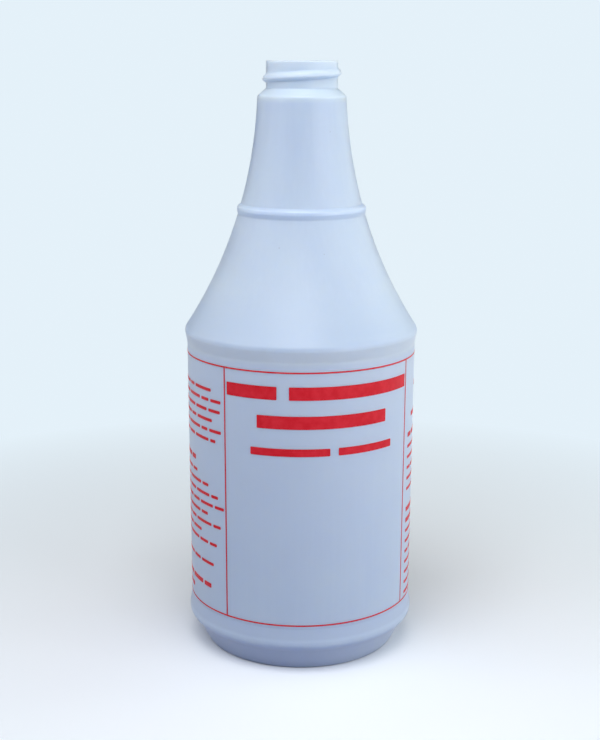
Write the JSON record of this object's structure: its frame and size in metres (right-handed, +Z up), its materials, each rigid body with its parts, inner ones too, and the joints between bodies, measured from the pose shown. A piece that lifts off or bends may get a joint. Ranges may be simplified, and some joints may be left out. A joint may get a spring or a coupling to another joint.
{
  "type": "spray cleaner bottle",
  "caption": "Open blow-moulded plastic bottle with a round body, flared shoulder, grip ring, threaded neck for a trigger sprayer and red screen print.",
  "frame": {"origin": "centre of the circle that the bottle stands on, at the level of the standing surface", "axes": "+Z up along the bottle's axis to the mouth, -Y out of the front of the print, +X to the right as the front is seen"},
  "size_m": [0.0844, 0.0844, 0.2123],
  "materials": {
    "hdpe": "natural milky high-density polyethylene with a faint blue cast, satin, slightly translucent",
    "red_ink": "red screen-printing ink, thin and satin"
  },
  "bodies": {
    "root": {"bottle": "hdpe", "screen_print": "red_ink"}
  },
  "joints": []
}
